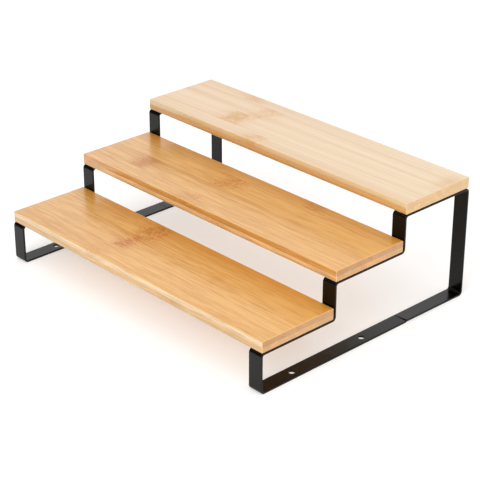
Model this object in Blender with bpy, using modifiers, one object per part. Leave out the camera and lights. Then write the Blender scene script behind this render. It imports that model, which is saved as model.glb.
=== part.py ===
"""Tiered shelf riser: three bamboo boards screwed onto two bent steel side frames.

Metres, +Z up. +X is to the right of a person facing the front, +Y runs to the back.
The origin is on the table, in the middle of the footprint.
"""
import math

import bmesh
import bpy
from mathutils import Matrix, Vector

# Boards: three equal blanks, one for each level.
BOARD_LENGTH = 0.380
BOARD_DEPTH = 0.093
BOARD_THICKNESS = 0.012
BOARD_EDGE = 0.0009
LEVELS = ("lower", "middle", "upper")
BAMBOO_COLOURS = {
    "lower": (0.66, 0.36, 0.13),
    "middle": (0.65, 0.35, 0.13),
    "upper": (0.82, 0.60, 0.37),
}

# The staircase that the side frames make.
STEP_DEPTH = 0.095
STEP_RISE = 0.0385
FIRST_BOARD_UNDERSIDE = 0.0434
FIT_GAP = 0.0003

# Side frames: one flat steel strip each, bent across its flat faces into a closed stepped loop.
STRIP_WIDTH = 0.0165
STRIP_THICKNESS = 0.0020
STRIP_EDGE = 0.0003
BEND_RADIUS = 0.0034
BEND_SEGMENTS = 6
FRONT_LEAD = 0.001
REAR_LEAD = 0.001

# The strip's two ends meet in the bottom rail and are welded from below. The right frame's
# rear end was welded with a slight twist, so its outer edge sits a little high at the seam.
SEAM_FRACTION = 0.70
SEAM_GAP = 0.0004
SEAM_LIFTS = {"left": 0.0, "right": 0.0009}
SEAM_RUN_SEGMENTS = 8
SEAM_GROOVE = 0.0006
WELD_LENGTH = 0.005
WELD_INSET = 0.0003
WELD_CLEARANCE = 0.0002

# Holes in each frame: one for a screw in each tread, and a wider one in the rail under it
# for the screwdriver. The upper tread is high enough above the rail to need none.
SCREW_HOLE_RADIUS = 0.0024
DRIVER_HOLE_RADIUS = 0.0032
DRIVER_HOLE_LEVELS = (0, 1)
HOLE_SEGMENTS = 24

# Pan-head wood screws, driven upwards.
SCREW_LENGTH = 0.012
SCREW_STEPS = 16
SHANK_RADIUS = 0.0017
THREAD_CREST_RADIUS = 0.0020
THREAD_ROOT_RADIUS = 0.0014
THREAD_PITCH = 0.0016
THREAD_TURNS = 5
TIP_LENGTH = 0.0022
TIP_RADIUS = 0.0003
HEAD_RADIUS = 0.0035
HEAD_HEIGHT = 0.0023
HEAD_ROUNDING = 0.0012
HEAD_ROUNDING_SEGMENTS = 4
RECESS_SPAN = 0.0040
RECESS_WIDTH = 0.0009
RECESS_DEPTH = 0.0014
PILOT_RADIUS = THREAD_CREST_RADIUS + FIT_GAP
PILOT_END_GAP = 0.0005

# Worked out from the dimensions above.
TOTAL_DEPTH = FRONT_LEAD + 2 * STEP_DEPTH + BOARD_DEPTH + REAR_LEAD
FRAME_FRONT_Y = -TOTAL_DEPTH / 2
FRAME_REAR_Y = TOTAL_DEPTH / 2
FIRST_BOARD_FRONT_Y = FRAME_FRONT_Y + FRONT_LEAD
SEAM_Y = FRAME_FRONT_Y + SEAM_FRACTION * TOTAL_DEPTH
FRAME_CENTRE_X = BOARD_LENGTH / 2 - STRIP_WIDTH / 2
SIDES = {"left": -1, "right": 1}

# Bits of geometry that reach past a surface, so that a cut goes right through it.
CUT_MARGIN = 0.001
SMOOTH_ANGLE = math.radians(35)
BEVEL_ANGLE = math.radians(50)


def clear_scene():
    for old in list(bpy.data.objects):
        bpy.data.objects.remove(old, do_unlink=True)


def new_collection(name):
    collection = bpy.data.collections.new(name)
    bpy.context.scene.collection.children.link(collection)
    return collection


def principled(name, colour, roughness, metallic):
    material = bpy.data.materials.new(name)
    material.use_nodes = True
    shader = material.node_tree.nodes["Principled BSDF"]
    shader.inputs["Base Color"].default_value = (*colour, 1.0)
    shader.inputs["Roughness"].default_value = roughness
    shader.inputs["Metallic"].default_value = metallic
    return material


def bamboo(level_name):
    return principled(f"{level_name}_board_bamboo", BAMBOO_COLOURS[level_name], 0.38, 0.0)


def black_powder_coat(name):
    return principled(name, (0.004, 0.004, 0.004), 0.30, 0.0)


def black_zinc(name):
    return principled(name, (0.035, 0.034, 0.036), 0.38, 0.9)


def board_front_y(level):
    return FIRST_BOARD_FRONT_Y + level * STEP_DEPTH


def board_middle_y(level):
    return board_front_y(level) + BOARD_DEPTH / 2


def board_underside(level):
    return FIRST_BOARD_UNDERSIDE + level * STEP_RISE


def tread_top(level):
    return board_underside(level) - FIT_GAP


def screw_seat(level):
    """Height of the face of the screw head that pulls against the tread from below."""
    return tread_top(level) - STRIP_THICKNESS - FIT_GAP


def add_object(name, mesh, collection, material=None):
    thing = bpy.data.objects.new(name, mesh)
    collection.objects.link(thing)
    if material is not None:
        mesh.materials.clear()
        mesh.materials.append(material)
    return thing


def add_cutter(name, mesh, cutters):
    cutter = add_object(name, mesh, cutters)
    cutter.hide_render = True
    cutter.display_type = "WIRE"
    return cutter


def box_mesh(name, size):
    """A box centred on its own origin."""
    shape = bmesh.new()
    bmesh.ops.create_cube(shape, size=1.0, matrix=Matrix.Diagonal((*size, 1.0)))
    mesh = bpy.data.meshes.new(name)
    shape.to_mesh(mesh)
    shape.free()
    return mesh


def cylinder_mesh(name, radius, height):
    """An upright cylinder centred on its own origin."""
    shape = bmesh.new()
    bmesh.ops.create_cone(
        shape, cap_ends=True, segments=HOLE_SEGMENTS, radius1=radius, radius2=radius, depth=height
    )
    mesh = bpy.data.meshes.new(name)
    shape.to_mesh(mesh)
    shape.free()
    return mesh


def add_boolean(thing, tool, operation):
    modifier = thing.modifiers.new(tool.name, "BOOLEAN")
    modifier.operation = operation
    modifier.solver = "EXACT"
    modifier.object = tool


def add_bevel(thing, width, segments):
    bevel = thing.modifiers.new("eased edges", "BEVEL")
    bevel.width = width
    bevel.segments = segments
    bevel.limit_method = "ANGLE"
    bevel.angle_limit = BEVEL_ANGLE


def shade(mesh):
    mesh.shade_smooth()
    mesh.set_sharp_from_angle(angle=SMOOTH_ANGLE)


def evaluated_mesh(thing, name):
    """The mesh that an object's modifiers give, as a new mesh without modifiers."""
    bpy.context.view_layer.update()
    graph = bpy.context.evaluated_depsgraph_get()
    mesh = bpy.data.meshes.new_from_object(thing.evaluated_get(graph))
    mesh.name = name
    return mesh


# Boards


def pilot_hole(name, x, level, cutters):
    """A blind hole, drilled from below, that clears a screw all round."""
    top = screw_seat(level) + SCREW_LENGTH + PILOT_END_GAP
    bottom = board_underside(level) - CUT_MARGIN
    cutter = add_cutter(name, cylinder_mesh(name, PILOT_RADIUS, top - bottom), cutters)
    cutter.location = (x, board_middle_y(level), (top + bottom) / 2)
    return cutter


def add_board(level, parts, cutters):
    name = f"{LEVELS[level]}_board"
    size = (BOARD_LENGTH, BOARD_DEPTH, BOARD_THICKNESS)
    board = add_object(name, box_mesh(name, size), parts, bamboo(LEVELS[level]))
    board.location = (0, board_middle_y(level), board_underside(level) + BOARD_THICKNESS / 2)
    add_bevel(board, BOARD_EDGE, 3)
    for side, sign in SIDES.items():
        hole_name = f"{LEVELS[level]}_{side}_pilot_hole"
        add_boolean(board, pilot_hole(hole_name, sign * FRAME_CENTRE_X, level, cutters), "DIFFERENCE")
    shade(board.data)


# Side frames


def strip_corners():
    """Sharp corners of the strip's centre line, as (y, z), from its rear end at the seam
    round the rear leg, down the steps and back along the rail to its front end."""
    half = STRIP_THICKNESS / 2
    rail_z = half
    rear_y = FRAME_REAR_Y - half
    corners = [(SEAM_Y + SEAM_GAP / 2, rail_z), (rear_y, rail_z)]
    last_y = rear_y
    for level in reversed(range(len(LEVELS))):
        tread_z = tread_top(level) - half
        riser_y = board_front_y(level) - FRONT_LEAD + half
        corners += [(last_y, tread_z), (riser_y, tread_z)]
        last_y = riser_y
    corners += [(last_y, rail_z), (SEAM_Y - SEAM_GAP / 2, rail_z)]
    return [Vector(corner) for corner in corners]


def rounded_path(corners):
    """The same line with each inner corner turned into an arc of BEND_RADIUS."""
    path = [corners[0]]
    for before, corner, after in zip(corners, corners[1:], corners[2:]):
        back = (before - corner).normalized()
        ahead = (after - corner).normalized()
        centre = corner + BEND_RADIUS * (back + ahead)
        for step in range(BEND_SEGMENTS + 1):
            turn = math.pi / 2 * step / BEND_SEGMENTS
            path.append(centre - BEND_RADIUS * (math.cos(turn) * ahead + math.sin(turn) * back))
    path.append(corners[-1])
    return path


def strip_path():
    """The rounded path, with the run from the seam to the rear bend cut into short lengths."""
    path = rounded_path(strip_corners())
    start, bend = path[0], path[1]
    run = [start.lerp(bend, step / SEAM_RUN_SEGMENTS) for step in range(SEAM_RUN_SEGMENTS)]
    return run + path[1:]


def strip_surface_mesh(name, seam_lift):
    """The strip's middle surface, centred on x = 0. Its edge at +x is lifted at the seam, and
    the lift is gone by the rear bend."""
    surface = bmesh.new()
    rows = []
    for index, point in enumerate(strip_path()):
        inner = surface.verts.new((-STRIP_WIDTH / 2, point.x, point.y))
        lift = seam_lift * max(0.0, 1 - index / SEAM_RUN_SEGMENTS)
        outer = surface.verts.new((STRIP_WIDTH / 2, point.x, point.y + lift))
        rows.append((inner, outer))
    for (inner, outer), (next_inner, next_outer) in zip(rows, rows[1:]):
        surface.faces.new((inner, outer, next_outer, next_inner))
    mesh = bpy.data.meshes.new(name)
    surface.to_mesh(mesh)
    surface.free()
    return mesh


def weld_block(name, cutters):
    """The weld that bridges the seam below the strip's upper face."""
    height = STRIP_THICKNESS - SEAM_GROOVE - WELD_CLEARANCE
    size = (STRIP_WIDTH - 2 * WELD_INSET, WELD_LENGTH, height)
    weld = add_cutter(name, box_mesh(name, size), cutters)
    weld.location = (0, SEAM_Y, WELD_CLEARANCE + height / 2)
    return weld


def frame_hole(name, radius, level, middle_z, cutters):
    height = STRIP_THICKNESS + 2 * CUT_MARGIN
    hole = add_cutter(name, cylinder_mesh(name, radius, height), cutters)
    hole.location = (0, board_middle_y(level), middle_z)
    return hole


def frame_mesh(side, cutters):
    """One finished side frame, centred on x = 0."""
    shape_name = f"{side}_side_frame_shape"
    shape = add_object(shape_name, strip_surface_mesh(shape_name, SEAM_LIFTS[side]), cutters)
    thickness = shape.modifiers.new("strip thickness", "SOLIDIFY")
    thickness.thickness = STRIP_THICKNESS
    thickness.offset = 0
    thickness.use_even_offset = True
    add_bevel(shape, STRIP_EDGE, 1)
    add_boolean(shape, weld_block(f"{side}_seam_weld", cutters), "UNION")
    for level, level_name in enumerate(LEVELS):
        tread_middle = tread_top(level) - STRIP_THICKNESS / 2
        hole_name = f"{side}_{level_name}_screw_hole"
        hole = frame_hole(hole_name, SCREW_HOLE_RADIUS, level, tread_middle, cutters)
        add_boolean(shape, hole, "DIFFERENCE")
    for level in DRIVER_HOLE_LEVELS:
        hole_name = f"{side}_{LEVELS[level]}_driver_hole"
        hole = frame_hole(hole_name, DRIVER_HOLE_RADIUS, level, STRIP_THICKNESS / 2, cutters)
        add_boolean(shape, hole, "DIFFERENCE")
    mesh = evaluated_mesh(shape, f"{side}_side_frame")
    bpy.data.objects.remove(shape)
    shade(mesh)
    return mesh


def add_side_frames(parts, cutters):
    for side, sign in SIDES.items():
        name = f"{side}_side_frame"
        material = black_powder_coat(f"{name}_powder_coat")
        frame = add_object(name, frame_mesh(side, cutters), parts, material)
        frame.location = (sign * FRAME_CENTRE_X, 0, 0)


# Screws


def screw_profile():
    """Half outline as (radius, z), from the tip down. The head's pulling face is at z = 0."""
    outline = [(0.0, SCREW_LENGTH), (TIP_RADIUS, SCREW_LENGTH)]
    thread_top = SCREW_LENGTH - TIP_LENGTH
    for turn in range(THREAD_TURNS):
        top = thread_top - turn * THREAD_PITCH
        outline.append((THREAD_ROOT_RADIUS, top))
        outline.append((THREAD_CREST_RADIUS, top - THREAD_PITCH / 2))
    thread_end = thread_top - THREAD_TURNS * THREAD_PITCH
    outline += [(THREAD_ROOT_RADIUS, thread_end), (SHANK_RADIUS, thread_end - THREAD_PITCH / 4)]
    outline += [(SHANK_RADIUS, 0.0), (HEAD_RADIUS, 0.0)]
    for step in range(HEAD_ROUNDING_SEGMENTS + 1):
        turn = math.pi / 2 * step / HEAD_ROUNDING_SEGMENTS
        radius = HEAD_RADIUS - HEAD_ROUNDING + HEAD_ROUNDING * math.cos(turn)
        outline.append((radius, HEAD_ROUNDING - HEAD_HEIGHT - HEAD_ROUNDING * math.sin(turn)))
    outline.append((0.0, -HEAD_HEIGHT))
    return outline


def profile_mesh(name, outline):
    profile = bmesh.new()
    points = [profile.verts.new((radius, 0, z)) for radius, z in outline]
    for upper, lower in zip(points, points[1:]):
        profile.edges.new((upper, lower))
    mesh = bpy.data.meshes.new(name)
    profile.to_mesh(mesh)
    profile.free()
    return mesh


def recess_slot(name, quarter_turn, cutters):
    """One of the two crossed slots in the screw's head."""
    size = (RECESS_SPAN, RECESS_WIDTH, 2 * RECESS_DEPTH)
    slot = add_cutter(name, box_mesh(name, size), cutters)
    slot.location = (0, 0, -HEAD_HEIGHT)
    slot.rotation_euler = (0, 0, quarter_turn * math.pi / 2)
    return slot


def screw_mesh(cutters):
    shape = add_object("screw_shape", profile_mesh("screw_shape", screw_profile()), cutters)
    turned = shape.modifiers.new("turned", "SCREW")
    turned.axis = "Z"
    turned.steps = SCREW_STEPS
    turned.render_steps = SCREW_STEPS
    turned.use_merge_vertices = True
    turned.merge_threshold = 0.00001
    add_boolean(shape, recess_slot("recess_slot_a", 0, cutters), "DIFFERENCE")
    add_boolean(shape, recess_slot("recess_slot_b", 1, cutters), "DIFFERENCE")
    mesh = evaluated_mesh(shape, "pan_head_screw")
    bpy.data.objects.remove(shape)
    shade(mesh)
    return mesh


def add_screws(parts, cutters):
    mesh = screw_mesh(cutters)
    material = black_zinc("screw_black_zinc")
    for level, level_name in enumerate(LEVELS):
        for side, sign in SIDES.items():
            screw = add_object(f"{level_name}_{side}_screw", mesh, parts, material)
            screw.location = (sign * FRAME_CENTRE_X, board_middle_y(level), screw_seat(level))


def main():
    clear_scene()
    parts = new_collection("tiered_shelf_riser")
    cutters = new_collection("cutters")
    for level in range(len(LEVELS)):
        add_board(level, parts, cutters)
    add_side_frames(parts, cutters)
    add_screws(parts, cutters)


main()
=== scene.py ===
"""Looks of the tiered shelf riser: lacquered bamboo boards, powder-coated straps and black screws.

Metres, +Z up, in the row frame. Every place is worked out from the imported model's own boxes.
"""
import math
from types import SimpleNamespace

import bmesh
import bpy
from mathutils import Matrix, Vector


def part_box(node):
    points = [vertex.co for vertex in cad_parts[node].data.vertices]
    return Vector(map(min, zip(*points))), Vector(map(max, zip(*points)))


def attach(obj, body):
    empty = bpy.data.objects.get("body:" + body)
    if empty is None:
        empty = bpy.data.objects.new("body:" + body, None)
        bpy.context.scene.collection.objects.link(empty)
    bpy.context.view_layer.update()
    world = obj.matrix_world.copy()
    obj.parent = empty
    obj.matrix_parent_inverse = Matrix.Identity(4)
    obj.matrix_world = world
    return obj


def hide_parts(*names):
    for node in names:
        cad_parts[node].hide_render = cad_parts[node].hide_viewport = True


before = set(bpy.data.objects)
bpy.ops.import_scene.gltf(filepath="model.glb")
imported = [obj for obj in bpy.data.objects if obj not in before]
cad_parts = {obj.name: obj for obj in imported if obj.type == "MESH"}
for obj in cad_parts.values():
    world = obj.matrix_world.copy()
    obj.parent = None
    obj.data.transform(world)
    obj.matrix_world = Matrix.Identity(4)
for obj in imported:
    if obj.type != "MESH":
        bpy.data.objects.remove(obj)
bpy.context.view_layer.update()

BODY = "root"
LEVELS = ("lower", "middle", "upper")
SIDES = {"left": -1, "right": 1}
MM = 0.001

# Boards
BOARD_EDGE = 0.9 * MM
BOARD_EDGE_SEGMENTS = 6
LEAST_CORNER_RADIUS = 0.02 * MM
GLUE_GROOVE_WIDTH = 0.16 * MM
GLUE_GROOVE_DEPTH = 0.05 * MM
FLAT_MARGIN = 0.3 * MM

# Straps
STRIP_THICKNESS = 2.0 * MM
STRIP_EDGE = 0.35 * MM
STRIP_EDGE_SEGMENTS = 3
BEND_RADIUS = 3.4 * MM
BEND_SEGMENTS = 12
BEND_MARGIN = 0.8 * MM
FRONT_LEAD = 1.0 * MM
FIT_GAP = 0.3 * MM
SEAM_FRACTION = 0.70
SEAM_GAP_INSIDE = 0.15 * MM
SEAM_GAPS_OUTSIDE = {"left": 0.15 * MM, "right": 0.75 * MM}
SEAM_LIFTS = {"left": 0.0, "right": 0.9 * MM}
SEAM_RUN_SEGMENTS = 10
END_CHAMFER = 0.2 * MM
WELD_RADII = (1.6 * MM, 0.55 * MM)
WELD_HEIGHT = 0.85 * MM
WELD_INSET = 0.5 * MM
WELD_END_SHARE = 0.6
WELD_SEGMENTS = 24
SCREW_HOLE_RADIUS = 2.4 * MM
DRIVER_HOLE_RADIUS = 3.2 * MM
HOLE_CHAMFER = 0.15 * MM
HOLE_SEGMENTS = 64
CUT_MARGIN = 0.5 * MM

# Screws
SCREW_SEGMENTS = 32
SCREW_LENGTH = 12.0 * MM
SHANK_RADIUS = 1.7 * MM
SHANK_LENGTH = 1.4 * MM
THREAD_CREST_RADIUS = 2.0 * MM
THREAD_ROOT_RADIUS = 1.4 * MM
THREAD_PITCH = 1.6 * MM
THREAD_RIDGE_SHARE = 0.32
THREAD_RINGS_PER_TURN = 10
TIP_LENGTH = 2.2 * MM
TIP_RADIUS = 0.2 * MM
HEAD_RADIUS = 3.5 * MM
HEAD_HEIGHT = 2.3 * MM
HEAD_ROUNDING = 1.2 * MM
HEAD_CROWN = 0.25 * MM
HEAD_CENTRE_RADIUS = 0.05 * MM
HEAD_CROWN_SEGMENTS = 5
HEAD_ROUNDING_SEGMENTS = 6
SHANK_FILLET = 0.15 * MM
RECESS_SPAN = 4.0 * MM
RECESS_WIDTH = 0.95 * MM
RECESS_DEPTH = 1.4 * MM
RECESS_TAPER = 0.45
RECESS_CORNER = 0.12 * MM
RECESS_CORNER_SEGMENTS = 2
PILOT_RADIUS = THREAD_CREST_RADIUS + FIT_GAP
PILOT_END_GAP = 0.5 * MM
GOLDEN_ANGLE = math.radians(137.5)

SHARP_ANGLE = math.radians(32)
SLIVER = 0.002 * MM

# Camera and light
CAMERA_AZIMUTH = math.radians(46.93)
CAMERA_ELEVATION = math.radians(26.21)
CAMERA_DISTANCE = 1.6067
CAMERA_TARGET = Vector((0.0020, 0.0069, 0.0405))
CAMERA_LENS = 115.86
SENSOR_WIDTH = 36.0
WORLD_STRENGTH = 0.97
FLOOR_GLOW = 0.30
FLOOR_TONES = ((0.655, 0.655, 0.655), (0.665, 0.665, 0.665))
FLOOR_RADIUS = 6.0
FLOOR_SEGMENTS = 96
DARK_SIDE = (-0.72, -0.58, 0.30)
DARK_SIDE_START = 0.45
DARK_SIDE_FULL = 0.85
DARK_SIDE_LEVEL = 0.12
# Centre, width and watts of each.
SOFTBOXES = {
    "overhead_softbox": ((-0.2, -0.8, 1.5), 1.4, 5.0),
    "front_softbox": ((0.5, -1.9, 1.1), 1.6, 18.0),
}


# Mesh tools


def add_object(name, mesh, material=None):
    thing = bpy.data.objects.new(name, mesh)
    bpy.context.scene.collection.objects.link(thing)
    if material is not None:
        mesh.materials.clear()
        mesh.materials.append(material)
    return thing


def mesh_from_rings(name, rings):
    """A closed mesh through rings of points that all have the same number, capped at both ends."""
    shape = bmesh.new()
    loops = [[shape.verts.new(point) for point in ring] for ring in rings]
    for loop, following in zip(loops, loops[1:]):
        for index, corner in enumerate(loop):
            after = (index + 1) % len(loop)
            shape.faces.new((corner, loop[after], following[after], following[index]))
    shape.faces.new(list(reversed(loops[0])))
    shape.faces.new(loops[-1])
    bmesh.ops.recalc_face_normals(shape, faces=shape.faces)
    mesh = bpy.data.meshes.new(name)
    shape.to_mesh(mesh)
    shape.free()
    return mesh


def turned_mesh(name, profile, segments):
    """A solid of revolution about z through (radius, z) points from its bottom to its top."""
    rings = []
    for radius, z in profile:
        turns = [2 * math.pi * step / segments for step in range(segments)]
        rings.append([(radius * math.cos(turn), radius * math.sin(turn), z) for turn in turns])
    return mesh_from_rings(name, rings)


def cut_and_join(thing, cutters=(), additions=()):
    """Applies exact Booleans to an object's mesh and removes the tools."""
    for tool, operation in [(t, "UNION") for t in additions] + [(t, "DIFFERENCE") for t in cutters]:
        modifier = thing.modifiers.new(tool.name, "BOOLEAN")
        modifier.operation = operation
        modifier.solver = "EXACT"
        modifier.object = tool
    bpy.context.view_layer.update()
    graph = bpy.context.evaluated_depsgraph_get()
    mesh = bpy.data.meshes.new_from_object(thing.evaluated_get(graph))
    thing.modifiers.clear()
    thing.data = mesh
    for tool in [*cutters, *additions]:
        bpy.data.objects.remove(tool)


def weld_slivers(mesh):
    """Joins points that a Boolean left closer together than a sliver's width."""
    shape = bmesh.new()
    shape.from_mesh(mesh)
    bmesh.ops.remove_doubles(shape, verts=shape.verts, dist=SLIVER)
    shape.to_mesh(mesh)
    shape.free()


def shade(mesh):
    mesh.shade_smooth()
    mesh.set_sharp_from_angle(angle=SHARP_ANGLE)


def rounded_rectangle(half_width, half_height, radius, segments, margin=0.0):
    """Outline of a rectangle with round corners, anticlockwise. A margin above zero adds a
    point that far from both ends of each corner, which keeps the shading of the flats true."""
    outline = []
    for corner in range(4):
        start = corner * math.pi / 2
        right = 1 if corner in (0, 3) else -1
        top = 1 if corner in (0, 1) else -1
        centre = Vector((right * (half_width - radius), top * (half_height - radius)))
        arc = []
        for step in range(segments + 1):
            turn = start + math.pi / 2 * step / segments
            arc.append(centre + radius * Vector((math.cos(turn), math.sin(turn))))
        if margin:
            along_start = Vector((math.sin(start), -math.cos(start))) * margin
            end = start + math.pi / 2
            along_end = Vector((-math.sin(end), math.cos(end))) * margin
            arc = [arc[0] + along_start, *arc, arc[-1] + along_end]
        outline += arc
    return outline


# Boards


def board_rings(length, depth, thickness):
    """Horizontal outlines from the underside to the top, with eased edges and a fine groove
    where the two plies are glued."""
    half = thickness / 2
    rises = []
    for step in range(BOARD_EDGE_SEGMENTS + 1):
        turn = math.pi / 2 * step / BOARD_EDGE_SEGMENTS
        rises.append((BOARD_EDGE * (1 - math.sin(turn)), half - BOARD_EDGE * (1 - math.cos(turn))))
    rises = [(BOARD_EDGE + FLAT_MARGIN, half), *rises, (0.0, half - BOARD_EDGE - FLAT_MARGIN)]
    glue = [(0.0, -GLUE_GROOVE_WIDTH / 2), (GLUE_GROOVE_DEPTH, 0.0), (0.0, GLUE_GROOVE_WIDTH / 2)]
    sections = [(inset, -z) for inset, z in rises] + glue + list(reversed(rises))
    rings = []
    for inset, z in sections:
        radius = max(BOARD_EDGE - inset, LEAST_CORNER_RADIUS)
        outline = rounded_rectangle(length / 2 - inset, depth / 2 - inset, radius, BOARD_EDGE_SEGMENTS)
        rings.append([(x, y, z) for x, y in outline])
    return rings


def pilot_hole(name, screw_box, board_middle):
    """The blind hole drilled up into a board for one screw, in the board's own frame."""
    low, high = screw_box
    centre = (low + high) / 2 - board_middle
    bottom = low.z - board_middle.z
    top = high.z + PILOT_END_GAP - board_middle.z
    profile = [(PILOT_RADIUS, bottom), (PILOT_RADIUS, top)]
    hole = add_object(name, turned_mesh(name, profile, HOLE_SEGMENTS))
    hole.location = board_middle + Vector((centre.x, centre.y, 0))
    return hole


def add_board(level, material):
    node = f"{level}_board"
    low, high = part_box(node)
    size = high - low
    middle = (low + high) / 2
    name = f"{level}_bamboo_board"
    board = add_object(name, mesh_from_rings(name, board_rings(size.x, size.y, size.z)), material)
    board.location = middle
    holes = [pilot_hole(f"{level}_{side}_pilot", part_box(f"{level}_{side}_screw"), middle) for side in SIDES]
    cut_and_join(board, cutters=holes)
    shade(board.data)
    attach(board, BODY)
    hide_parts(node)


# Side frames


def strip_corners(seam_y):
    """Sharp corners of the strap's centre line as (y, z), from its rear end at the seam round
    the rear leg, down the steps and back along the rail to its front end."""
    frame_low, frame_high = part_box("right_side_frame")
    half = STRIP_THICKNESS / 2
    corners = [(seam_y, half), (frame_high.y - half, half)]
    last_y = frame_high.y - half
    for level in reversed(LEVELS):
        board_low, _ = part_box(f"{level}_board")
        tread_z = board_low.z - FIT_GAP - half
        riser_y = board_low.y - FRONT_LEAD + half
        corners += [(last_y, tread_z), (riser_y, tread_z)]
        last_y = riser_y
    corners += [(last_y, half), (seam_y, half)]
    return [Vector(corner) for corner in corners]


def strip_path(corners):
    """(point, direction) pairs along the centre line, with round bends. The short steps beside
    each bend keep the shading of the straight runs true."""
    first_way = (corners[1] - corners[0]).normalized()
    last_way = (corners[-1] - corners[-2]).normalized()
    path = [(corners[0], first_way)]
    for before, corner, after in zip(corners, corners[1:], corners[2:]):
        back = (before - corner).normalized()
        ahead = (after - corner).normalized()
        centre = corner + BEND_RADIUS * (back + ahead)
        path.append((corner + (BEND_RADIUS + BEND_MARGIN) * back, -back))
        for step in range(BEND_SEGMENTS + 1):
            turn = math.pi / 2 * step / BEND_SEGMENTS
            point = centre - BEND_RADIUS * (math.cos(turn) * ahead + math.sin(turn) * back)
            path.append((point, math.sin(turn) * ahead - math.cos(turn) * back))
        path.append((corner + (BEND_RADIUS + BEND_MARGIN) * ahead, ahead))
    path.append((corners[-1], last_way))
    start, bend = path[0][0], path[1][0]
    steps = range(1, SEAM_RUN_SEGMENTS)
    run = [(start.lerp(bend, step / SEAM_RUN_SEGMENTS), first_way) for step in steps]
    return [path[0], *run, *path[1:]]


def strap_mesh(name, width, side):
    """One strap, centred on x = 0."""
    frame_low, frame_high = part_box("right_side_frame")
    seam_y = frame_low.y + SEAM_FRACTION * (frame_high.y - frame_low.y)
    path = strip_path(strip_corners(seam_y))
    half_width, half_thickness = width / 2, STRIP_THICKNESS / 2
    section = rounded_rectangle(half_width, half_thickness, STRIP_EDGE, STRIP_EDGE_SEGMENTS, FLAT_MARGIN)
    chamfered = rounded_rectangle(
        half_width - END_CHAMFER,
        half_thickness - END_CHAMFER,
        STRIP_EDGE - END_CHAMFER,
        STRIP_EDGE_SEGMENTS,
        FLAT_MARGIN,
    )
    # The seam's edges are the sharp ends of the path, each behind a small chamfer.
    first, last = path[0], path[-1]
    stations = [(chamfered, *first, 0.0), (section, *first, END_CHAMFER)]
    stations += [(section, *place, None) for place in path[1:-1]]
    stations += [(section, *last, -END_CHAMFER), (chamfered, *last, 0.0)]
    rings = []
    for index, (outline, point, way, from_end) in enumerate(stations):
        lift = SEAM_LIFTS[side] * max(0.0, 1 - max(0, index - 1) / SEAM_RUN_SEGMENTS)
        end_sign = 0 if from_end is None else (1 if index < 2 else -1)
        rings.append(strap_ring(outline, point, way, side, width, lift, end_sign, from_end or 0.0))
    return mesh_from_rings(name, rings), seam_y


def strap_ring(outline, point, way, side, width, lift, end_sign, from_end):
    """One cross-section in space. The two ends are cut a little off square, and the lift is
    the twist of the rear end, which is greatest at the strap's outer edge."""
    ring = []
    up = Vector((-way.y, way.x))
    for across, height in outline:
        share = 0.5 + SIDES[side] * across / width
        gap = SEAM_GAP_INSIDE + (SEAM_GAPS_OUTSIDE[side] - SEAM_GAP_INSIDE) * share
        place = point + up * height + way * (end_sign * gap / 2 + from_end)
        ring.append((across, place.x, place.y + lift * share))
    return ring


def weld_bead(name, width, seam_y):
    """The bead that joins the strap's two ends below its upper face, ground flush."""
    half = width / 2 - WELD_INSET
    inner = half - WELD_INSET
    sections = [(-half, WELD_END_SHARE), (-inner, 1.0), (inner, 1.0), (half, WELD_END_SHARE)]
    turns = [2 * math.pi * step / WELD_SEGMENTS for step in range(WELD_SEGMENTS)]
    rings = []
    for x, size in sections:
        along, rise = size * WELD_RADII[0], size * WELD_RADII[1]
        rings.append([(x, seam_y + along * math.cos(t), WELD_HEIGHT + rise * math.sin(t)) for t in turns])
    return add_object(name, mesh_from_rings(name, rings))


def hole_cutter(name, radius, y, middle_z):
    """Cuts a hole with a small chamfer at each face of the strap."""
    half = STRIP_THICKNESS / 2
    wide = radius + HOLE_CHAMFER + CUT_MARGIN
    profile = [
        (wide, -half - CUT_MARGIN),
        (radius, -half + HOLE_CHAMFER),
        (radius, half - HOLE_CHAMFER),
        (wide, half + CUT_MARGIN),
    ]
    hole = add_object(name, turned_mesh(name, profile, HOLE_SEGMENTS))
    hole.location = (0, y, middle_z)
    return hole


def add_side_frame(side, material):
    node = f"{side}_side_frame"
    low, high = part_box(node)
    name = f"{side}_bent_strap"
    mesh, seam_y = strap_mesh(name, high.x - low.x, side)
    strap = add_object(name, mesh, material)
    holes = []
    for level in LEVELS:
        board_low, board_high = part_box(f"{level}_board")
        middle_y = (board_low.y + board_high.y) / 2
        tread_middle = board_low.z - FIT_GAP - STRIP_THICKNESS / 2
        holes.append(hole_cutter(f"{side}_{level}_screw_hole", SCREW_HOLE_RADIUS, middle_y, tread_middle))
        if level != "upper":
            rail_middle = STRIP_THICKNESS / 2
            hole_name = f"{side}_{level}_driver_hole"
            holes.append(hole_cutter(hole_name, DRIVER_HOLE_RADIUS, middle_y, rail_middle))
    weld = weld_bead(f"{side}_seam_weld", high.x - low.x, seam_y)
    cut_and_join(strap, cutters=holes, additions=[weld])
    shade(strap.data)
    strap.location.x = (low.x + high.x) / 2
    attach(strap, BODY)
    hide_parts(node)


# Screws


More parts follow.
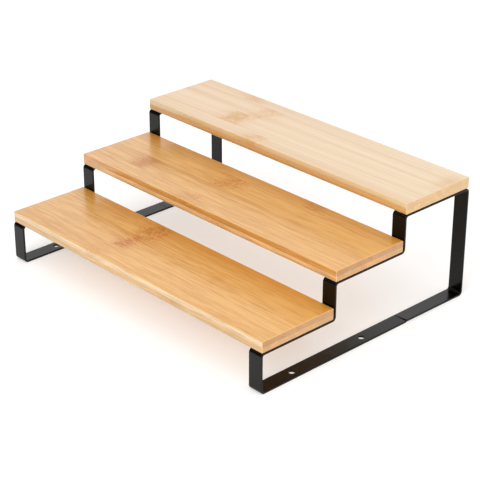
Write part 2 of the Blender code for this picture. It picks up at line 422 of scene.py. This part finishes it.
def head_profile():
    """Half outline of the pan head as (radius, z), from its bottom up to its pulling face."""
    profile = [(HEAD_CENTRE_RADIUS, -HEAD_HEIGHT)]
    side_radius = HEAD_RADIUS - HEAD_ROUNDING
    for step in range(1, HEAD_CROWN_SEGMENTS):
        share = step / HEAD_CROWN_SEGMENTS
        profile.append((side_radius * share, -HEAD_HEIGHT + HEAD_CROWN * share ** 2))
    crown = -HEAD_HEIGHT + HEAD_CROWN
    for step in range(HEAD_ROUNDING_SEGMENTS + 1):
        turn = math.pi / 2 * (1 - step / HEAD_ROUNDING_SEGMENTS)
        rise = HEAD_ROUNDING * (1 - math.sin(turn))
        profile.append((side_radius + HEAD_ROUNDING * math.cos(turn), crown + rise))
    shank_start = [(SHANK_RADIUS + SHANK_FILLET, 0.0), (SHANK_RADIUS, SHANK_FILLET)]
    return [*profile, (HEAD_RADIUS, 0.0), *shank_start]


def thread_radius(z, turn):
    """Radius of the threaded part at a height and an angle: one helical ridge that grows out of
    the shank and narrows to the tip."""
    phase = (z / THREAD_PITCH - turn / (2 * math.pi)) % 1.0
    ridge = max(0.0, 1 - abs(phase - 0.5) / THREAD_RIDGE_SHARE)
    fade_in = min(1.0, max(0.0, (z - SHANK_LENGTH) / THREAD_PITCH))
    radius = THREAD_ROOT_RADIUS + (THREAD_CREST_RADIUS - THREAD_ROOT_RADIUS) * ridge * fade_in
    radius += (SHANK_RADIUS - THREAD_ROOT_RADIUS) * (1 - fade_in) * (1 - ridge * fade_in)
    to_tip = max(0.0, z - (SCREW_LENGTH - TIP_LENGTH)) / TIP_LENGTH
    return radius + (TIP_RADIUS - radius) * to_tip


def screw_mesh():
    turns = [2 * math.pi * step / SCREW_SEGMENTS for step in range(SCREW_SEGMENTS)]
    rings = [[(r * math.cos(t), r * math.sin(t), z) for t in turns] for r, z in head_profile()]
    steps = round((SCREW_LENGTH - SHANK_LENGTH) / THREAD_PITCH * THREAD_RINGS_PER_TURN)
    for step in range(steps + 1):
        z = SHANK_LENGTH + (SCREW_LENGTH - SHANK_LENGTH) * step / steps
        radii = [thread_radius(z, t) for t in turns]
        rings.append([(r * math.cos(t), r * math.sin(t), z) for r, t in zip(radii, turns)])
    shape = add_object("screw_shape", mesh_from_rings("screw_shape", rings))
    cut_and_join(shape, cutters=[recess_wing(quarter) for quarter in range(2)])
    mesh = shape.data
    bpy.data.objects.remove(shape)
    weld_slivers(mesh)
    shade(mesh)
    return mesh


def recess_wing(quarter):
    """One of the two crossed, tapered slots in the head."""
    bottom = -HEAD_HEIGHT - CUT_MARGIN
    top = -HEAD_HEIGHT + RECESS_DEPTH
    rings = []
    for z, scale in ((bottom, 1 + RECESS_TAPER * CUT_MARGIN / RECESS_DEPTH), (top, 1 - RECESS_TAPER)):
        half_span = scale * RECESS_SPAN / 2
        half_width = RECESS_WIDTH / 2 * (0.5 + scale / 2)
        outline = rounded_rectangle(half_span, half_width, RECESS_CORNER, RECESS_CORNER_SEGMENTS)
        rings.append([(x, y, z) for x, y in outline])
    name = f"recess_wing_{quarter}"
    wing = add_object(name, mesh_from_rings(name, rings))
    wing.rotation_euler.z = quarter * math.pi / 2
    return wing


def add_screws(material):
    mesh = screw_mesh()
    for count, (level, side) in enumerate((level, side) for level in LEVELS for side in SIDES):
        node = f"{level}_{side}_screw"
        low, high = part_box(node)
        screw = add_object(f"{level}_{side}_pan_head_screw", mesh, material)
        screw.location = ((low.x + high.x) / 2, (low.y + high.y) / 2, high.z - SCREW_LENGTH)
        screw.rotation_euler.z = count * GOLDEN_ANGLE
        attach(screw, BODY)
        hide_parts(node)


# Materials


class Graph:
    """Short calls that add nodes to a material's or world's tree. A value may be a number, a
    tuple or a socket."""

    def __init__(self, owner):
        self.owner = owner
        owner.use_nodes = True
        self.tree = owner.node_tree
        self.shader = self.tree.nodes.get("Principled BSDF")

    def feed(self, socket, value):
        if isinstance(value, bpy.types.NodeSocket):
            self.tree.links.new(value, socket)
        else:
            socket.default_value = value

    def node(self, kind, inputs, **settings):
        made = self.tree.nodes.new(kind)
        for key, value in settings.items():
            setattr(made, key, value)
        for key, value in inputs.items():
            self.feed(made.inputs[key], value)
        return made

    def math(self, operation, *values, clamp=False):
        inputs = dict(enumerate(values))
        return self.node("ShaderNodeMath", inputs, operation=operation, use_clamp=clamp).outputs[0]

    def vector(self, operation, *values):
        return self.node("ShaderNodeVectorMath", dict(enumerate(values)), operation=operation).outputs[0]

    def split(self, vector):
        return self.node("ShaderNodeSeparateXYZ", {0: vector}).outputs

    def join(self, x, y, z):
        return self.node("ShaderNodeCombineXYZ", {0: x, 1: y, 2: z}).outputs[0]

    def step(self, value, low, high, to_low=0.0, to_high=1.0):
        """A smooth step from to_low to to_high as value goes from low to high."""
        inputs = {"Value": value, "From Min": low, "From Max": high, "To Min": to_low, "To Max": to_high}
        return self.node("ShaderNodeMapRange", inputs, interpolation_type="SMOOTHSTEP").outputs[0]

    def noise(self, vector, scale, detail=2.0, roughness=0.5, distortion=0.0):
        inputs = {
            "Vector": vector,
            "Scale": scale,
            "Detail": detail,
            "Roughness": roughness,
            "Distortion": distortion,
        }
        return self.node("ShaderNodeTexNoise", inputs).outputs[0]

    def blend(self, factor, first, second):
        """A number between two others."""
        return self.node("ShaderNodeMix", {0: factor, 2: first, 3: second}).outputs[0]

    def mix(self, factor, first, second, blend="MIX"):
        """A colour between two others."""
        made = self.tree.nodes.new("ShaderNodeMix")
        made.data_type = "RGBA"
        made.blend_type = blend
        sockets = {socket.identifier: socket for socket in made.inputs}
        self.feed(sockets["Factor_Float"], factor)
        self.feed(sockets["A_Color"], first)
        self.feed(sockets["B_Color"], second)
        return next(socket for socket in made.outputs if socket.identifier == "Result_Color")

    def varied(self, factor, dark, light):
        return self.mix(factor, (*dark, 1.0), (*light, 1.0))

    def times(self, colour, factor):
        """A colour made darker or paler by a number."""
        return self.mix(1.0, colour, self.join(factor, factor, factor), "MULTIPLY")

    def bump(self, height, strength, distance):
        inputs = {"Height": height, "Strength": strength, "Distance": distance}
        return self.node("ShaderNodeBump", inputs).outputs[0]

    def bell(self, distance, width):
        """1 at no distance, falling off to 0 like a bell curve of that width."""
        share = self.math("DIVIDE", distance, width)
        return self.math("EXPONENT", self.math("MULTIPLY", self.math("MULTIPLY", share, share), -1.0))

    def tilt(self, value, amount):
        """A noise value's distance from its middle, times an amount."""
        return self.math("MULTIPLY", self.math("SUBTRACT", value, 0.5), amount)

    def total(self, *values, clamp=False):
        """The sum of several values."""
        sum_so_far = values[0]
        for value in values[1:-1]:
            sum_so_far = self.math("ADD", sum_so_far, value)
        return self.math("ADD", sum_so_far, values[-1], clamp=clamp)

    def object_place(self):
        """A place in the object's own frame, in millimetres."""
        coordinates = self.node("ShaderNodeTexCoord", {})
        return self.vector("MULTIPLY", coordinates.outputs["Object"], (1 / MM, 1 / MM, 1 / MM))

    def normal_parts(self):
        """The x, y and z of the normal in the object's own frame, without their signs."""
        coordinates = self.node("ShaderNodeTexCoord", {})
        return self.split(self.vector("ABSOLUTE", coordinates.outputs["Normal"]))


# Bamboo. A look's strips are those of the upper ply, from the back edge to the front. Each has
# where it starts, in millimetres from the back; its tone, from 0 for dark to 1 for pale; where
# the culm's node crosses it, in millimetres from the left end; how strong that mark is; and how
# streaky and red it is. The lower ply has the same strips, moved round by a share of the depth
# and along by some millimetres. Stains are (from left, from back, half length, half width,
# strength). Grain is the contrast of the fibres, and softness is how blurred the marks are. The
# rear shade is painted shade: the change of tone at the back edge, where the board above shades
# it. The drift is the change from the left end to the right. Gold is (how golden the face is at
# the right end, how much painted warm shade lies at the back edge, standing in for the board
# above's shade and warm bounce light). Pairs of colours are (dark, pale) for the face, (wormy,
# streaky) for the mark, and (upper ply, lower ply) for the front and the ends.
BAMBOO_LOOKS = {
    "lower": {
        "strips": (
            (0, 0.50, 140, 1.1, 0.3),
            (4, 0.66, 142, 1.3, 0.0),
            (34, 0.63, 139, 1.35, 1.0),
            (64, 0.45, 129, 0.35, 0.0),
        ),
        "stains": ((261, 43, 7, 10, 0.20), (20, 78, 26, 5, 0.25)),
        "lower_ply": (0.80, 0),
        "grain": 1.85,
        "softness": 0.0,
        "painted_rear_shade": -0.44,
        "drift": 0.28,
        "gold_and_warm_shade": (0.25, 0.46),
        "face": ((0.50, 0.240, 0.052), (0.74, 0.430, 0.150)),
        "mark": ((0.46, 0.160, 0.006), (0.46, 0.150, 0.012)),
        "front": ((0.67, 0.475, 0.275), (0.565, 0.355, 0.160)),
        "end": ((0.470, 0.235, 0.077), (0.560, 0.315, 0.130)),
    },
    "middle": {
        "strips": (
            (0, 0.48, 268, 0.8, 0.3),
            (15, 0.66, 166, 1.1, 0.0),
            (44, 0.48, 63, 1.35, 0.7),
            (73, 0.47, 163, 0.7, 0.0),
        ),
        "stains": ((63, 56, 17, 11, 0.35),),
        "lower_ply": (0.90, 0),
        "grain": 1.4,
        "softness": 0.0,
        "painted_rear_shade": -0.12,
        "drift": 0.24,
        "gold_and_warm_shade": (0.25, 0.36),
        "face": ((0.50, 0.240, 0.052), (0.74, 0.432, 0.153)),
        "mark": ((0.50, 0.175, 0.006), (0.44, 0.160, 0.015)),
        "front": ((0.545, 0.275, 0.078), (0.595, 0.350, 0.150)),
        "end": ((0.465, 0.230, 0.073), (0.580, 0.325, 0.135)),
    },
    "upper": {
        "strips": (
            (0, 0.48, 78, 1.05, 0.0),
            (15, 0.50, 121, 0.80, 0.0),
            (46, 0.52, 106, 1.45, 0.0),
            (76, 0.50, 161, 0.90, 0.0),
        ),
        "stains": ((374, 27, 9, 17, 0.45),),
        "lower_ply": (0.41, -201),
        "grain": 0.16,
        "softness": 1.0,
        "painted_rear_shade": 0.0,
        "drift": 0.22,
        "gold_and_warm_shade": (0.0, 0.0),
        "face": ((0.58, 0.350, 0.170), (0.735, 0.580, 0.395)),
        "mark": ((0.56, 0.290, 0.080), (0.52, 0.270, 0.080)),
        "front": ((0.64, 0.475, 0.275), (0.54, 0.285, 0.096)),
        "end": ((0.645, 0.415, 0.195), (0.665, 0.440, 0.220)),
    },
}

# Noises drawn out along the fibres: waves per millimetre across them, detail and roughness.
FIBRE_NOISES = {
    "broad": (0.10, 2.0, 0.5),
    "band": (0.30, 2.0, 0.6),
    "medium": (0.75, 3.0, 0.65),
    "fine": (2.2, 2.0, 0.6),
    "lines": (1.7, 1.0, 0.5),
}
FIBRE_STRETCH = 0.014
STRIP_SPREAD = 137.0
WAVER = 6.0

# How much each noise changes the tone. All but the broad one go with the look's grain.
BROAD_TONE = 1.3
BAND_TONE = 0.5
BAND_TONE_PER_GRAIN = 0.34
MEDIUM_TONE_PER_GRAIN = 1.15
FINE_TONE_PER_GRAIN = 2.8
LINE_TONES = (0.03, -0.16)

# Reaches in millimetres.
WORM_REACH = 15.0
STREAK_REACH = 7.0
STAIN_REACH = 16.0
NODE_WANDER = 16.0
# Reach of the painted shade at the back edge.
PAINTED_REAR_SHADE_REACH = 10.0
# Reach of the painted warm shade at the back edge.
PAINTED_WARM_SHADE_REACH = 14.0
GLUE_REACH = 0.16
WARM_REACH = 2.4

# Shares of a colour in the mix.
STAIN_SHARE = 0.26
STAIN_SHARE_PER_SOFTNESS = 0.30
SPOT_SHARE = 0.90
SPOT_SHARE_PER_SOFTNESS = -0.50
WARM_SHARE = 0.30
GLUE_SHARE = 0.18
# Painted highlight and wear on the eased edges.
EDGE_HIGHLIGHT_AND_WEAR_SHARE = 0.45

# Colour of the gold, and of the painted warm shade at the back edge.
GOLDEN_AND_WARM_SHADE = (0.72, 0.320, 0.030, 1.0)
GLUE_SIDE = (0.56, 0.27, 0.075, 1.0)
# Paler colour of the painted highlight and wear on the eased edges.
EDGE_HIGHLIGHT_AND_WEAR_TINT = (0.80, 0.60, 0.36, 1.0)
GLUE_COLOUR = (0.25, 0.11, 0.03, 1.0)
BUNDLE_COLOUR = (0.26, 0.11, 0.04, 1.0)


def bamboo(level, size):
    """Flat strips in two plies under a satin lacquer, with fibres along x."""
    look = BAMBOO_LOOKS[level]
    graph = Graph(bpy.data.materials.new(f"{level}_bamboo"))
    board = board_places(graph, size.x / MM, size.y / MM)
    strip = strip_here(graph, look, board)
    fibres = fibre_noises(graph, board, strip)
    tone = fibre_tone(graph, look, board, strip, fibres)
    mark = node_mark(graph, look, board, strip)
    mark = graph.math("ADD", mark, stains(graph, look, board), clamp=True)
    colour = bamboo_colour(graph, look, board, strip, tone, mark)
    add_lacquer(graph, colour, mark, fibres)
    return graph.owner


def board_places(graph, length, depth):
    """Where a point of a board is, in millimetres, and which of the board's faces it is on."""
    place, normal = graph.object_place(), graph.normal_parts()
    x, y, z = graph.split(place)
    squareness = graph.math("MAXIMUM", graph.math("MAXIMUM", normal[0], normal[1]), normal[2])
    return SimpleNamespace(
        length=length,
        depth=depth,
        place=place,
        x=x,
        y=y,
        z=z,
        from_left=graph.math("ADD", x, length / 2),
        from_back=graph.math("SUBTRACT", depth / 2, y),
        at_end=graph.step(normal[0], 0.55, 0.85),
        at_side=graph.step(normal[1], 0.55, 0.85),
        eased=graph.step(squareness, 0.995, 0.75),
        upper_ply=graph.math("GREATER_THAN", z, 0.0),
    )


def strip_here(graph, look, board):
    """The strip that a point is in: what it is like, and how far off its node is."""
    ply_shift, ply_slide = look["lower_ply"]
    back_share = graph.math("DIVIDE", board.from_back, board.depth)
    shifted = graph.math("FRACT", graph.math("ADD", back_share, ply_shift))
    across = graph.blend(board.upper_ply, shifted, back_share)
    node_place, strength, tone, redness = strip_table(graph, across, look, board.depth)
    slid = graph.math("ADD", graph.math("SUBTRACT", board.length / 2, board.x), ply_slide)
    along = graph.blend(board.upper_ply, slid, board.from_left)
    straight = graph.math("SUBTRACT", along, graph.math("MULTIPLY", node_place, 1 / MM))
    edge_noise = graph.noise(graph.join(0.0, board.y, board.z), scale=0.16, detail=3.0, roughness=0.6)
    to_node = graph.math("ADD", straight, graph.tilt(edge_noise, NODE_WANDER))
    return SimpleNamespace(
        node_place=node_place,
        strength=strength,
        tone=tone,
        redness=redness,
        to_node=to_node,
        near_node=graph.math("MULTIPLY", graph.bell(to_node, STAIN_REACH), strength),
    )


def strip_table(graph, across, look, depth):
    """Node place in metres, node strength, tone and redness of the strip at a place across the
    board, from a ramp that holds one colour for each strip."""
    ramp = graph.node("ShaderNodeValToRGB", {0: across})
    stops = ramp.color_ramp
    stops.interpolation = "CONSTANT"
    for index, (start, tone, node_place, strength, redness) in enumerate(look["strips"]):
        stop = stops.elements[index] if index < 2 else stops.elements.new(1.0)
        stop.position = start / depth
        stop.color = (node_place * MM, strength, tone, redness)
    table = graph.node("ShaderNodeSeparateColor", {0: ramp.outputs[0]}).outputs
    return table[0], table[1], table[2], ramp.outputs[1]


def fibre_noises(graph, board, strip):
    """The noises by name. Fibres waver as they cross a node, and each strip has its own."""
    sideways = graph.tilt(graph.noise(board.place, scale=0.28), WAVER)
    waver = graph.math("MULTIPLY", sideways, strip.near_node)
    own = graph.math("MULTIPLY", graph.math("ADD", strip.node_place, strip.tone), STRIP_SPREAD)
    fibre_x = graph.math("ADD", graph.math("MULTIPLY", board.x, FIBRE_STRETCH), own)
    fibre_place = graph.join(fibre_x, graph.math("ADD", board.y, waver), board.z)
    return {name: graph.noise(fibre_place, *settings) for name, settings in FIBRE_NOISES.items()}


def fibre_tone(graph, look, board, strip, fibres):
    """Tone of the bamboo, from 0 for the dark colour of its pair to 1 for the pale one."""
    grain = look["grain"]
    lines = graph.step(fibres["lines"], 0.56, 0.70, *LINE_TONES)
    # Painted shade: the tone falls at the back edge, where the board above shades it.
    painted_back_shade = graph.bell(board.from_back, PAINTED_REAR_SHADE_REACH)
    return graph.total(
        strip.tone,
        graph.tilt(fibres["broad"], BROAD_TONE),
        graph.tilt(fibres["band"], BAND_TONE + BAND_TONE_PER_GRAIN * grain),
        graph.tilt(fibres["medium"], MEDIUM_TONE_PER_GRAIN * grain),
        graph.tilt(fibres["fine"], FINE_TONE_PER_GRAIN * grain),
        graph.math("MULTIPLY", lines, grain),
        graph.math("MULTIPLY", painted_back_shade, look["painted_rear_shade"]),
        graph.math("MULTIPLY", board.x, look["drift"] / board.length),
        clamp=True,
    )


def node_mark(graph, look, board, strip):
    """The mark of a culm's node: wormy spots or short dense streaks inside a soft stain."""
    worm_place = graph.join(graph.math("MULTIPLY", board.x, 0.75), board.y, board.z)
    worm_noise = graph.noise(worm_place, scale=0.34, detail=3.0, roughness=0.55, distortion=1.8)
    worms = graph.step(worm_noise, 0.49, 0.60)
    streak_place = graph.join(graph.math("MULTIPLY", board.x, 0.16), board.y, board.z)
    streaks = graph.step(graph.noise(streak_place, scale=0.80, roughness=0.6), 0.42, 0.60)
    pattern = graph.blend(strip.redness, worms, streaks)
    reach = graph.math("MULTIPLY", strip.redness, STREAK_REACH - WORM_REACH)
    reach = graph.math("ADD", reach, WORM_REACH)
    near = graph.math("MULTIPLY", graph.bell(strip.to_node, reach), strip.strength)
    blotches = graph.step(graph.noise(board.place, scale=0.11), 0.35, 0.65, 0.45, 1.15)
    stain_share = STAIN_SHARE + STAIN_SHARE_PER_SOFTNESS * look["softness"]
    stain = graph.math("MULTIPLY", graph.math("MULTIPLY", strip.near_node, blotches), stain_share)
    spot_share = SPOT_SHARE + SPOT_SHARE_PER_SOFTNESS * look["softness"]
    spots = graph.math("MULTIPLY", graph.math("MULTIPLY", near, pattern), spot_share)
    return graph.math("ADD", stain, spots, clamp=True)


def stains(graph, look, board):
    """Soft patches of darker bamboo on the upper ply, away from the nodes."""
    patches = 0.0
    for left, back, half_length, half_width, strength in look["stains"]:
        along = graph.bell(graph.math("SUBTRACT", board.from_left, left), half_length)
        across = graph.bell(graph.math("SUBTRACT", board.from_back, back), half_width)
        patch = graph.math("MULTIPLY", graph.math("MULTIPLY", along, across), strength)
        patches = graph.math("ADD", patches, patch)
    return graph.math("MULTIPLY", patches, board.upper_ply)


def bamboo_colour(graph, look, board, strip, tone, mark):
    """The face's colour with its gold, painted warm shade at the back edge and marks, and the colours of the
    sides, the ends, the glue line and a painted highlight with a little wear on the eased edges over it."""
    colour = graph.varied(tone, *look["face"])
    # Gold towards the right end, and painted warm shade at the back edge.
    colour = graph.mix(gold_and_warm_shade(graph, look, board), colour, GOLDEN_AND_WARM_SHADE)
    colour = graph.mix(board.at_side, colour, side_colour(graph, look["front"], board, tone))
    colour = graph.mix(mark, colour, graph.varied(strip.redness, *look["mark"]))
    colour = graph.mix(board.at_end, colour, end_colour(graph, look["end"], board, strip.tone))
    upright = graph.math("ADD", board.at_side, board.at_end, clamp=True)
    glue = graph.math("MULTIPLY", graph.bell(board.z, GLUE_REACH), upright)
    colour = graph.mix(graph.math("MULTIPLY", glue, GLUE_SHARE), colour, GLUE_COLOUR)
    # Painted highlight with a little wear: the eased edges are made paler, as where they catch the light.
    highlight_and_wear_share = graph.math("MULTIPLY", board.eased, EDGE_HIGHLIGHT_AND_WEAR_SHARE)
    return graph.mix(highlight_and_wear_share, colour, EDGE_HIGHLIGHT_AND_WEAR_TINT)


def gold_and_warm_shade(graph, look, board):
    """How golden the face is towards the right end, with painted warm shade towards the back edge, where the
    board above shades it and bounces warm light.
    """
    at_right, warm_shade_at_back = look["gold_and_warm_shade"]
    to_right = graph.math("MULTIPLY", graph.math("DIVIDE", board.from_left, board.length), at_right)
    # Painted warm shade: more orange near the back edge, standing in for the board above's shade and bounce
    # light.
    painted_warm_shade = graph.math("MULTIPLY", graph.bell(board.from_back, PAINTED_WARM_SHADE_REACH), warm_shade_at_back)
    return graph.math("ADD", to_right, painted_warm_shade)


def side_colour(graph, tones, board, tone):
    """Long edge of the board: each ply has its own tone, and the upper is warmer by the glue."""
    ply = graph.varied(board.upper_ply, tones[1], tones[0])
    warm = graph.step(graph.math("ABSOLUTE", board.z), WARM_REACH, 0.0, 0.0, WARM_SHARE)
    ply = graph.mix(graph.math("MULTIPLY", warm, board.upper_ply), ply, GLUE_SIDE)
    return graph.times(ply, graph.math("ADD", graph.tilt(tone, 0.45), 0.98))


def end_colour(graph, tones, board, strip_tone):
    """Sawn end: cut fibre bundles show as dark dots, and each strip has its own tone."""
    place = graph.join(graph.math("MULTIPLY", board.x, 0.02), board.y, board.z)
    inputs = {"Vector": place, "Scale": 1.05, "Randomness": 0.9}
    cell = graph.node("ShaderNodeTexVoronoi", inputs)
    dots = graph.step(cell.outputs["Distance"], 0.42, 0.18)
    patches = graph.noise(place, scale=0.13)
    ply = graph.varied(board.upper_ply, tones[1], tones[0])
    ply = graph.times(ply, graph.total(graph.tilt(patches, 0.55), graph.tilt(strip_tone, 0.5), 1.04))
    share = graph.math("MULTIPLY", dots, graph.step(patches, 0.35, 0.65, 0.22, 0.80))
    return graph.mix(share, ply, BUNDLE_COLOUR)


def add_lacquer(graph, colour, mark, fibres):
    """A satin clear coat, through which the fibres are felt a little."""
    medium, fine = fibres["medium"], fibres["fine"]
    shader = graph.shader
    graph.feed(shader.inputs["Base Color"], colour)
    roughness = graph.total(graph.tilt(medium, 0.25), graph.math("MULTIPLY", mark, 0.08), 0.38)
    graph.feed(shader.inputs["Roughness"], roughness)
    fibre_height = graph.math("ADD", graph.math("MULTIPLY", fine, 0.6), graph.math("MULTIPLY", medium, 0.4))
    height = graph.math("ADD", fibre_height, graph.tilt(mark, -0.4))
    graph.feed(shader.inputs["Normal"], graph.bump(height, strength=0.35, distance=0.12 * MM))
    shader.inputs["Coat Weight"].default_value = 0.8
    shader.inputs["Coat Roughness"].default_value = 0.22


# Colours of the metal's finishes: (cleaner, dustier) powder coat, and (darker, paler) zinc.
POWDER_COAT_TONES = ((0.0012, 0.0011, 0.0011), (0.0026, 0.0026, 0.0028))
POWDER_COAT_EDGE = (0.016, 0.016, 0.017, 1.0)
POWDER_COAT_EDGE_SHARE = 0.6
ZINC_TONES = ((0.018, 0.017, 0.018), (0.060, 0.058, 0.062))
RUBBED_ZINC = (0.30, 0.29, 0.28, 1.0)
RUBBED_SHARE = 0.35


def powder_coat():
    """Satin black powder coat: fine orange peel, a little dust, thinner along the strap's edges."""
    graph = Graph(bpy.data.materials.new("satin_black_powder_coat"))
    place, normal = graph.object_place(), graph.normal_parts()
    edge = graph.math("MULTIPLY", graph.step(normal[0], 0.15, 0.6), graph.step(normal[0], 0.98, 0.75))
    peel = graph.noise(place, scale=1.3, detail=3.0, roughness=0.55)
    grit = graph.noise(place, scale=5.0, roughness=0.6)
    dust = graph.step(graph.noise(place, scale=0.05, detail=3.0), 0.35, 0.75)
    colour = graph.varied(dust, *POWDER_COAT_TONES)
    worn = graph.math("MULTIPLY", edge, graph.step(graph.noise(place, scale=0.35, detail=3.0), 0.40, 0.65))
    colour = graph.mix(graph.math("MULTIPLY", worn, POWDER_COAT_EDGE_SHARE), colour, POWDER_COAT_EDGE)
    shader = graph.shader
    graph.feed(shader.inputs["Base Color"], colour)
    roughness = graph.total(graph.tilt(peel, 0.12), graph.math("MULTIPLY", dust, 0.05), 0.22)
    graph.feed(shader.inputs["Roughness"], roughness)
    height = graph.math("ADD", graph.math("MULTIPLY", peel, 0.8), graph.math("MULTIPLY", grit, 0.2))
    graph.feed(shader.inputs["Normal"], graph.bump(height, strength=0.12, distance=0.10 * MM))
    shader.inputs["Specular IOR Level"].default_value = 0.32
    shader.inputs["Coat Weight"].default_value = 0.12
    shader.inputs["Coat Roughness"].default_value = 0.12
    return graph.owner


def black_zinc():
    """Black zinc plating, rubbed brighter in small spots."""
    graph = Graph(bpy.data.materials.new("black_zinc_plating"))
    place = graph.object_place()
    grain = graph.noise(place, scale=3.0, detail=3.0, roughness=0.6)
    colour = graph.varied(graph.noise(place, scale=0.6), *ZINC_TONES)
    rubbed = graph.math("MULTIPLY", graph.step(grain, 0.58, 0.72), RUBBED_SHARE)
    shader = graph.shader
    graph.feed(shader.inputs["Base Color"], graph.mix(rubbed, colour, RUBBED_ZINC))
    graph.feed(shader.inputs["Roughness"], graph.math("ADD", graph.math("MULTIPLY", grain, 0.25), 0.22))
    graph.feed(shader.inputs["Normal"], graph.bump(grain, strength=0.15, distance=0.05 * MM))
    shader.inputs["Metallic"].default_value = 0.9
    return graph.owner


# Stage


def add_floor():
    """A plain pale table, lit a little from inside, and clear from below so that it doesn't hide
    the underside."""
    shape = bmesh.new()
    bmesh.ops.create_circle(shape, cap_ends=True, radius=FLOOR_RADIUS, segments=FLOOR_SEGMENTS)
    mesh = bpy.data.meshes.new("floor")
    shape.to_mesh(mesh)
    shape.free()
    graph = Graph(bpy.data.materials.new("pale_floor"))
    place = graph.node("ShaderNodeTexCoord", {}).outputs["Object"]
    tone = graph.noise(place, scale=6.0, detail=3.0)
    shader = graph.shader
    graph.feed(shader.inputs["Base Color"], graph.varied(tone, *FLOOR_TONES))
    shader.inputs["Emission Color"].default_value = (1.0, 1.0, 1.0, 1.0)
    shader.inputs["Emission Strength"].default_value = FLOOR_GLOW
    shader.inputs["Roughness"].default_value = 0.7
    shader.inputs["Specular IOR Level"].default_value = 0.0
    clear = graph.node("ShaderNodeBsdfTransparent", {})
    below = graph.node("ShaderNodeNewGeometry", {}).outputs["Backfacing"]
    mixed = graph.node("ShaderNodeMixShader", {0: below, 1: shader.outputs[0], 2: clear.outputs[0]})
    graph.feed(graph.tree.nodes["Material Output"].inputs["Surface"], mixed.outputs[0])
    floor = add_object("floor", mesh, graph.owner)


def add_softbox(name, centre, width, watts):
    """A square light that faces the origin and isn't seen by the camera."""
    lamp = bpy.data.lights.new(name, "AREA")
    lamp.shape = "SQUARE"
    lamp.size = width
    lamp.energy = watts
    softbox = bpy.data.objects.new(name, lamp)
    bpy.context.scene.collection.objects.link(softbox)
    softbox.location = centre
    softbox.rotation_mode = "QUATERNION"
    softbox.rotation_quaternion = (-Vector(centre)).to_track_quat("-Z", "Y")
    softbox.visible_camera = False


def add_world():
    """White all round, with a dark side that only lights and reflections see."""
    world = bpy.data.worlds.new("white_studio")
    graph = Graph(world)
    background = graph.tree.nodes["Background"]
    background.inputs["Strength"].default_value = WORLD_STRENGTH
    direction = graph.node("ShaderNodeTexCoord", {}).outputs["Generated"]
    inputs = {0: direction, 1: Vector(DARK_SIDE).normalized()}
    towards = graph.node("ShaderNodeVectorMath", inputs, operation="DOT_PRODUCT").outputs["Value"]
    shade_level = graph.step(towards, DARK_SIDE_START, DARK_SIDE_FULL, 1.0, DARK_SIDE_LEVEL)
    seen = graph.node("ShaderNodeLightPath", {}).outputs["Is Camera Ray"]
    graph.feed(background.inputs["Color"], graph.math("MAXIMUM", shade_level, seen))
    bpy.context.scene.world = world


def add_camera():
    level = math.cos(CAMERA_ELEVATION)
    back = Vector((
        math.sin(CAMERA_AZIMUTH) * level,
        -math.cos(CAMERA_AZIMUTH) * level,
        math.sin(CAMERA_ELEVATION),
    ))
    lens = bpy.data.cameras.new("camera")
    lens.lens = CAMERA_LENS
    lens.sensor_width = SENSOR_WIDTH
    camera = bpy.data.objects.new("camera", lens)
    bpy.context.scene.collection.objects.link(camera)
    camera.location = CAMERA_TARGET + CAMERA_DISTANCE * back
    camera.rotation_mode = "QUATERNION"
    camera.rotation_quaternion = (-back).to_track_quat("-Z", "Y")
    bpy.context.scene.camera = camera


for level in LEVELS:
    low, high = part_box(f"{level}_board")
    add_board(level, bamboo(level, high - low))
strap_finish = powder_coat()
for side in SIDES:
    add_side_frame(side, strap_finish)
add_screws(black_zinc())

add_floor()
add_world()
for name, (centre, width, watts) in SOFTBOXES.items():
    add_softbox(name, centre, width, watts)
add_camera()
bpy.context.scene.view_settings.view_transform = "Standard"
bpy.context.scene.view_settings.look = "Medium High Contrast"
